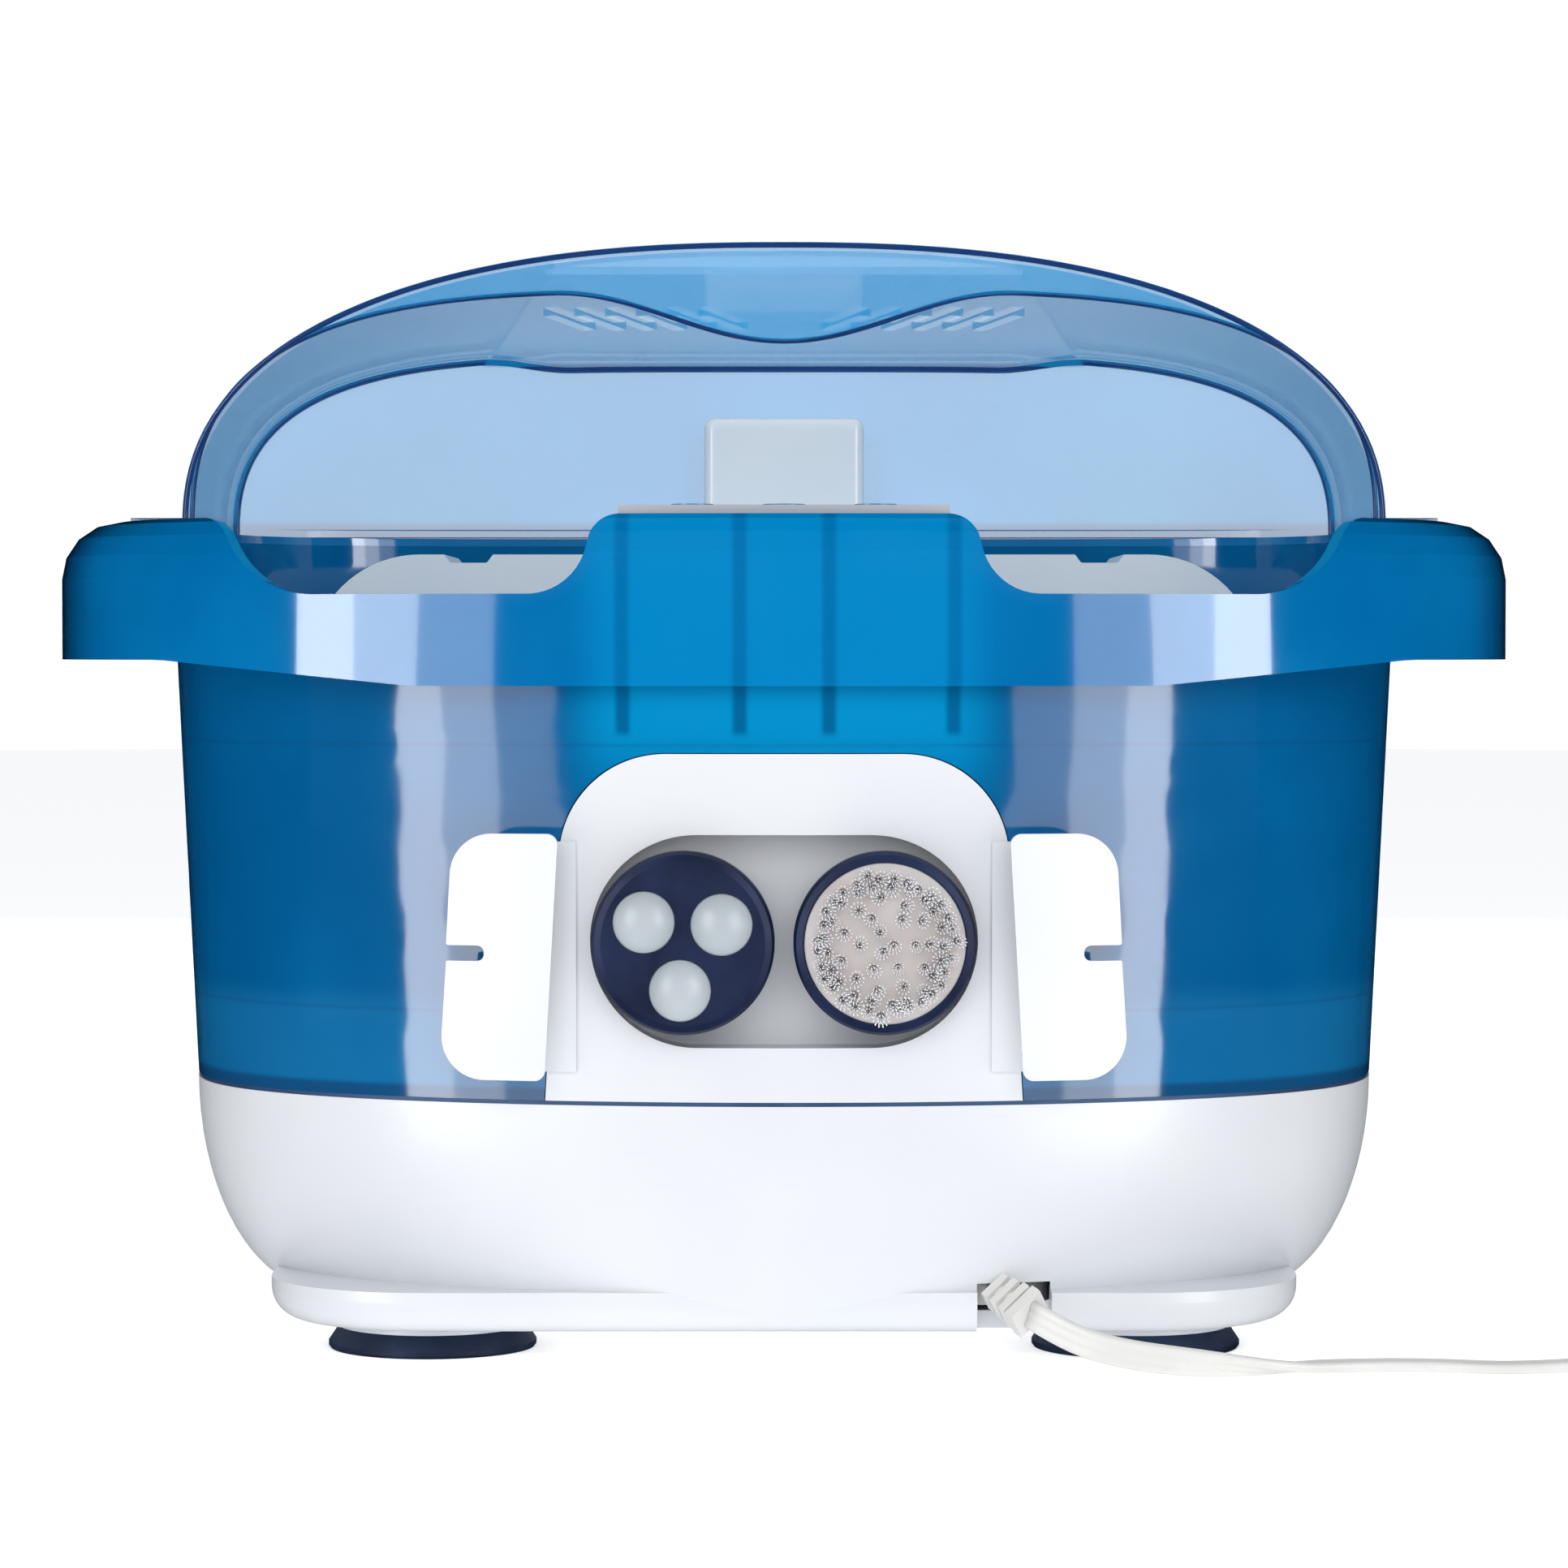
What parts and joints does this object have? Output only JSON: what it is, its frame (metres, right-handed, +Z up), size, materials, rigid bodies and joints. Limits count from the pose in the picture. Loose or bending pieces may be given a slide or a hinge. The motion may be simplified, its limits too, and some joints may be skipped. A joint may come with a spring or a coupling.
{
  "type": "foot spa basin",
  "caption": "Electric foot spa basin: clear blue tub with a handled rim, lift-off splash guard, waterfall console, clip-on massage heads, cord flaps and suction feet.",
  "frame": {"origin": "on the floor, under the middle of the object without its cord", "axes": "+X to the right, +Y to the back, away from the side a person sits at, +Z up"},
  "size_m": [0.569, 0.3531, 0.3295],
  "materials": {
    "white_shell": "moulded white, satin gloss",
    "white_inner": "moulded white, satin gloss",
    "blue_tub": "translucent blue moulding, high gloss",
    "blue_apron": "translucent blue moulding, high gloss",
    "blue_guard": "clear light blue moulding, high gloss",
    "dark_seal": "soft dark blue gasket",
    "cup_rubber": "soft navy rubber",
    "navy_head": "fine-grained navy",
    "pearl_ball": "milky translucent",
    "frost_disc": "milky translucent",
    "bristle_nylon": "nylon filaments",
    "bezel_chrome": "plated trim",
    "control_black": "dark gloss",
    "button_blue": "silvery blue buttons",
    "board_green": "laminate",
    "heater_aluminium": "rolled",
    "motor_steel": "plated can",
    "works_grey": "moulded grey",
    "hose_clear": "clear flexible tube",
    "screw_steel": "zinc plated",
    "axle_steel": "ground rod",
    "cord_white": "soft flexible plastic, satin",
    "blade_brass": "plain brass"
  },
  "bodies": {
    "base": {"base_housing": "white_shell", "base_seal": "dark_seal", "tub": "blue_tub", "rim_apron": "blue_apron", "suction_foot_front_left": "cup_rubber", "suction_foot_front_right": "cup_rubber", "suction_foot_rear_left": "cup_rubber", "suction_foot_rear_right": "cup_rubber", "housing_screws": "screw_steel", "waterfall_console": "white_inner", "footbed": "white_inner", "roller_axle_left": "axle_steel", "roller_axle_right": "axle_steel", "attachment_panel": "white_shell", "control_bezel": "bezel_chrome", "control_plate": "control_black", "circuit_board": "board_green", "heater_plate": "heater_aluminium", "thermostat": "motor_steel", "blower_housing": "works_grey", "blower_motor": "motor_steel", "air_hose": "hose_clear", "massage_motor": "motor_steel", "pump_body": "works_grey", "intake_hose": "hose_clear", "riser_hose": "hose_clear", "cord_lead": "cord_white", "cord_coil": "cord_white", "strain_relief": "cord_white", "plug_body": "cord_white", "plug_blades": "blade_brass"},
    "guard": {"splash_guard": "blue_guard"},
    "ball_head_body": {"ball_head": "navy_head"},
    "ball_1": {"massage_ball_1": "pearl_ball"},
    "ball_2": {"massage_ball_2": "pearl_ball"},
    "ball_3": {"massage_ball_3": "pearl_ball"},
    "brush_head_body": {"brush_head": "navy_head", "brush_disc": "frost_disc", "brush_bristles": "bristle_nylon"},
    "heat_button": {"button_heat": "button_blue"},
    "bubbles_button": {"button_bubbles": "button_blue"},
    "waterfall_button": {"button_waterfall": "button_blue"},
    "roller_left": {"foot_roller_left": "white_inner"},
    "roller_right": {"foot_roller_right": "white_inner"},
    "fan": {"blower_fan": "works_grey"},
    "weight": {"eccentric_weight": "motor_steel"},
    "impeller": {"pump_impeller": "works_grey"}
  },
  "joints": [
    {"name": "guard_lift", "type": "slide", "parent": "base", "child": "guard", "axis": [0, 0, 1], "range_m": [0, 0.06]},
    {"name": "ball_head_pull", "type": "slide", "parent": "base", "child": "ball_head_body", "axis": [0, -1, 0], "range_m": [0, 0.04]},
    {"name": "brush_head_pull", "type": "slide", "parent": "base", "child": "brush_head_body", "axis": [0, -1, 0], "range_m": [0, 0.04]},
    {"name": "ball_1_roll", "type": "hinge", "parent": "ball_head_body", "child": "ball_1", "pos_m": [-0.0391, -0.164, 0.127], "axis": [1, 0, 0], "continuous": true},
    {"name": "ball_2_roll", "type": "hinge", "parent": "ball_head_body", "child": "ball_2", "pos_m": [-0.0174, -0.164, 0.1263], "axis": [1, 0, 0], "continuous": true},
    {"name": "ball_3_roll", "type": "hinge", "parent": "ball_head_body", "child": "ball_3", "pos_m": [-0.029, -0.164, 0.1079], "axis": [1, 0, 0], "continuous": true},
    {"name": "heat_button_press", "type": "slide", "parent": "base", "child": "heat_button", "axis": [0, 0, -1], "range_m": [0, 0.0012], "stiffness_N_per_m": 900},
    {"name": "bubbles_button_press", "type": "slide", "parent": "base", "child": "bubbles_button", "axis": [0, 0, -1], "range_m": [0, 0.0012], "stiffness_N_per_m": 900},
    {"name": "waterfall_button_press", "type": "slide", "parent": "base", "child": "waterfall_button", "axis": [0, 0, -1], "range_m": [0, 0.0012], "stiffness_N_per_m": 900},
    {"name": "roller_left_spin", "type": "hinge", "parent": "base", "child": "roller_left", "pos_m": [-0.072, 0.022, 0.1024], "axis": [1, 0, 0], "continuous": true},
    {"name": "roller_right_spin", "type": "hinge", "parent": "base", "child": "roller_right", "pos_m": [0.072, 0.022, 0.1024], "axis": [1, 0, 0], "continuous": true},
    {"name": "fan_spin", "type": "hinge", "parent": "base", "child": "fan", "pos_m": [-0.095, 0.018, 0.045], "axis": [0, 0, 1], "continuous": true},
    {"name": "weight_spin", "type": "hinge", "parent": "base", "child": "weight", "pos_m": [0.095, 0.018, 0.045], "axis": [0, 0, 1], "continuous": true},
    {"name": "impeller_spin", "type": "hinge", "parent": "base", "child": "impeller", "pos_m": [0, 0.118, 0.04], "axis": [0, 0, 1], "continuous": true}
  ]
}
